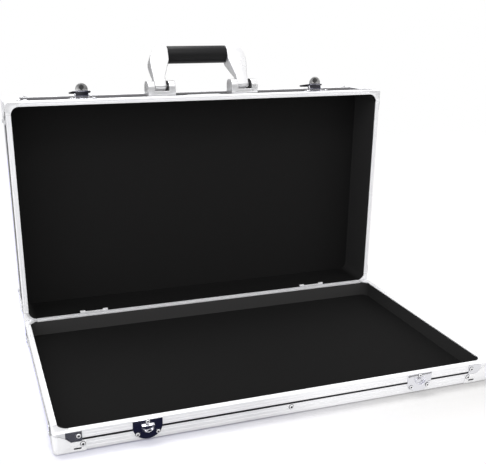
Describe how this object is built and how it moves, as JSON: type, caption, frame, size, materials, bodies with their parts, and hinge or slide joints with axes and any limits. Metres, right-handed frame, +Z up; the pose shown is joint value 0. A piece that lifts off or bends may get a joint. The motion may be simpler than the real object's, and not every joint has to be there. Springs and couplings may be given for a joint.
{
  "type": "guitar pedal case",
  "caption": "Shallow aluminium-edged carrying case with a padded black tray, a hinged lid, two draw latches and a swinging carrying handle.",
  "frame": {"origin": "on the table under the middle of the open case, halfway from the keepers at the front to the back of the lid", "axes": "+X to the right along the front of the tray, +Y to the back where the lid is hinged, +Z up"},
  "size_m": [0.6046, 0.4301, 0.4309],
  "materials": {
    "black_board": "black laminate with a fine pebble grain",
    "black_lining": "matt napped lining",
    "aluminium": "satin anodised, with drawn lines",
    "chrome": "bright plated",
    "steel": "plain",
    "grip_vinyl": "matt moulded sleeve"
  },
  "bodies": {
    "handle": {"handle_core": "steel", "handle_grip": "grip_vinyl", "left_handle_arm": "chrome", "right_handle_arm": "chrome"},
    "lid": {"handle_pins": "steel", "handle_plate": "aluminium", "hinge_stops": "chrome", "left_handle_bracket": "chrome", "left_hinge_upper_leaf": "chrome", "left_latch_base": "chrome", "lever_pins": "steel", "lid_back_rim": "aluminium", "lid_back_wall": "black_board", "lid_corner_caps": "chrome", "lid_corner_posts": "aluminium", "lid_front_rim": "aluminium", "lid_front_wall": "black_board", "lid_left_rim": "aluminium", "lid_left_wall": "black_board", "lid_long_edges": "aluminium", "lid_right_rim": "aluminium", "lid_right_wall": "black_board", "lid_rim_brackets": "chrome", "lid_rivets": "chrome", "lid_short_edges": "aluminium", "lid_top_board": "black_board", "lid_top_lining": "black_lining", "lid_wall_lining": "black_lining", "right_handle_bracket": "chrome", "right_hinge_upper_leaf": "chrome", "right_latch_base": "chrome"},
    "tray": {"hinge_pins": "steel", "left_hinge_lower_leaf": "chrome", "left_keeper": "chrome", "right_hinge_lower_leaf": "chrome", "right_keeper": "chrome", "tray_back_rim": "aluminium", "tray_back_wall": "black_board", "tray_corner_caps": "chrome", "tray_floor_board": "black_board", "tray_floor_lining": "black_lining", "tray_front_rim": "aluminium", "tray_front_wall": "black_board", "tray_left_rim": "aluminium", "tray_left_wall": "black_board", "tray_long_edges": "aluminium", "tray_right_rim": "aluminium", "tray_right_wall": "black_board", "tray_rim_brackets": "chrome", "tray_rivets": "chrome", "tray_short_edges": "aluminium", "tray_wall_lining": "black_lining"},
    "left_bail": {"left_latch_bail": "chrome"},
    "left_lever": {"left_latch_lever": "chrome"},
    "left_lock": {"left_lock_plug": "chrome"},
    "right_bail": {"right_latch_bail": "chrome"},
    "right_lever": {"right_latch_lever": "chrome"},
    "right_lock": {"right_lock_plug": "chrome"}
  },
  "joints": [
    {"name": "lid_hinge", "type": "hinge", "parent": "tray", "child": "lid", "pos_m": [0, 0.12624, 0.0252], "axis": [-1, 0, 0], "range_deg": [-91.3, 0]},
    {"name": "left_latch_pivot", "type": "hinge", "parent": "lid", "child": "left_lever", "pos_m": [-0.1884, 0.15665, 0.3649], "axis": [-1, 0, 0], "range_deg": [-90, 0]},
    {"name": "left_bail_pivot", "type": "hinge", "parent": "left_lever", "child": "left_bail", "pos_m": [-0.1884, 0.15677, 0.3699], "axis": [-1, 0, 0], "range_deg": [-98.5, 0]},
    {"name": "left_lock_turn", "type": "hinge", "parent": "left_lever", "child": "left_lock", "pos_m": [-0.1884, 0.15692, 0.37659], "axis": [0, 0.9997, -0.0227], "range_deg": [0, 90]},
    {"name": "right_latch_pivot", "type": "hinge", "parent": "lid", "child": "right_lever", "pos_m": [0.1884, 0.15665, 0.3649], "axis": [-1, 0, 0], "range_deg": [-90, 0]},
    {"name": "right_bail_pivot", "type": "hinge", "parent": "right_lever", "child": "right_bail", "pos_m": [0.1884, 0.15677, 0.3699], "axis": [-1, 0, 0], "range_deg": [-98.5, 0]},
    {"name": "right_lock_turn", "type": "hinge", "parent": "right_lever", "child": "right_lock", "pos_m": [0.1884, 0.15692, 0.37659], "axis": [0, 0.9997, -0.0227], "range_deg": [0, 90]},
    {"name": "handle_swing", "type": "hinge", "parent": "lid", "child": "handle", "pos_m": [0, 0.16734, 0.37316], "axis": [-1, 0, 0], "range_deg": [-115, 0]}
  ]
}
